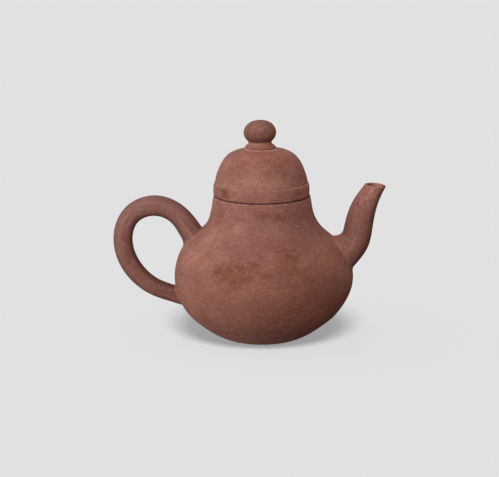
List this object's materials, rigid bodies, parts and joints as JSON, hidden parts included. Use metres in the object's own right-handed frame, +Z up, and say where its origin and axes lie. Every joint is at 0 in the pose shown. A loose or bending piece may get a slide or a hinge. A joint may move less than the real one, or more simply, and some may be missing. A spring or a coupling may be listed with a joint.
{
  "type": "clay teapot",
  "caption": "Pear-shaped unglazed clay teapot with an ear handle, a curved spout and a domed lift-off lid with a ball knob; brews and pours tea.",
  "frame": {"origin": "middle of the foot, on the surface the pot stands on", "axes": "+Z up through the knob, +X towards the spout, -X towards the handle"},
  "size_m": [0.1147, 0.0754, 0.0937],
  "materials": {
    "clay": "matte unglazed, hand burnished"
  },
  "bodies": {
    "pot": {"base_disc": "clay", "body_wall": "clay", "neck_wall": "clay", "mouth_ring": "clay", "spout": "clay", "handle": "clay"},
    "lid": {"lid_flange": "clay", "lid_seat_ring": "clay", "lid_band": "clay", "lid_dome": "clay", "knob_seat": "clay", "knob": "clay"}
  },
  "joints": [
    {"name": "lid_lift", "type": "slide", "parent": "pot", "child": "lid", "axis": [0, 0, 1], "range_m": [0, 0.06]}
  ]
}
